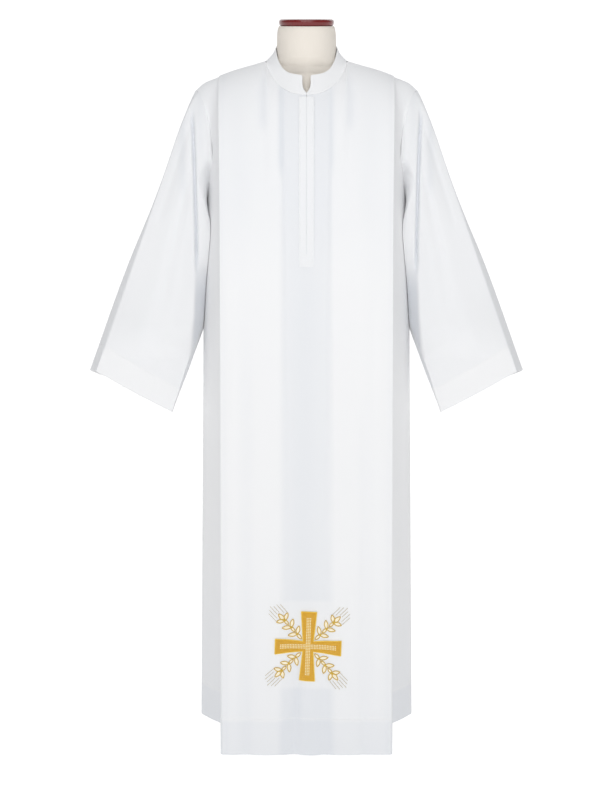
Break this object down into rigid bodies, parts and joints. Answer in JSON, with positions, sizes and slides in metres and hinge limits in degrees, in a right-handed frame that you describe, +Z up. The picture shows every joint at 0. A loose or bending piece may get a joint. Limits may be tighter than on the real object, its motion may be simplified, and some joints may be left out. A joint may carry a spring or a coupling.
{
  "type": "alb robe on a dress form",
  "caption": "Long white alb with a stand collar, wide sleeves, flat pleats front and back, a covered front zip and an embroidered cross near the hem, on a limbless dress form with a pole stand.",
  "frame": {"origin": "middle of the stand base's flat underside, on the floor", "axes": "+Z up along the stand's pole, -Y towards the robe's front, +X towards the wearer's left"},
  "size_m": [0.996, 0.457, 1.655],
  "materials": {
    "cloth": "fine plain weave, pressed, faint sheen",
    "gold_thread": "dense satin stitch",
    "linen": "coarse natural linen, stretched",
    "red_lacquer": "turned wood, glossy dark red lacquer",
    "steel": "brushed",
    "black_paint": "satin black"
  },
  "bodies": {
    "root": {"front": "cloth", "back": "cloth", "sleeve_left": "cloth", "sleeve_right": "cloth", "collar": "cloth", "zip_placket": "cloth", "zip_tape": "cloth", "cross_embroidery": "gold_thread", "form_body": "linen", "form_cap": "red_lacquer", "stand_pole": "steel", "stand_base": "black_paint"}
  },
  "joints": []
}
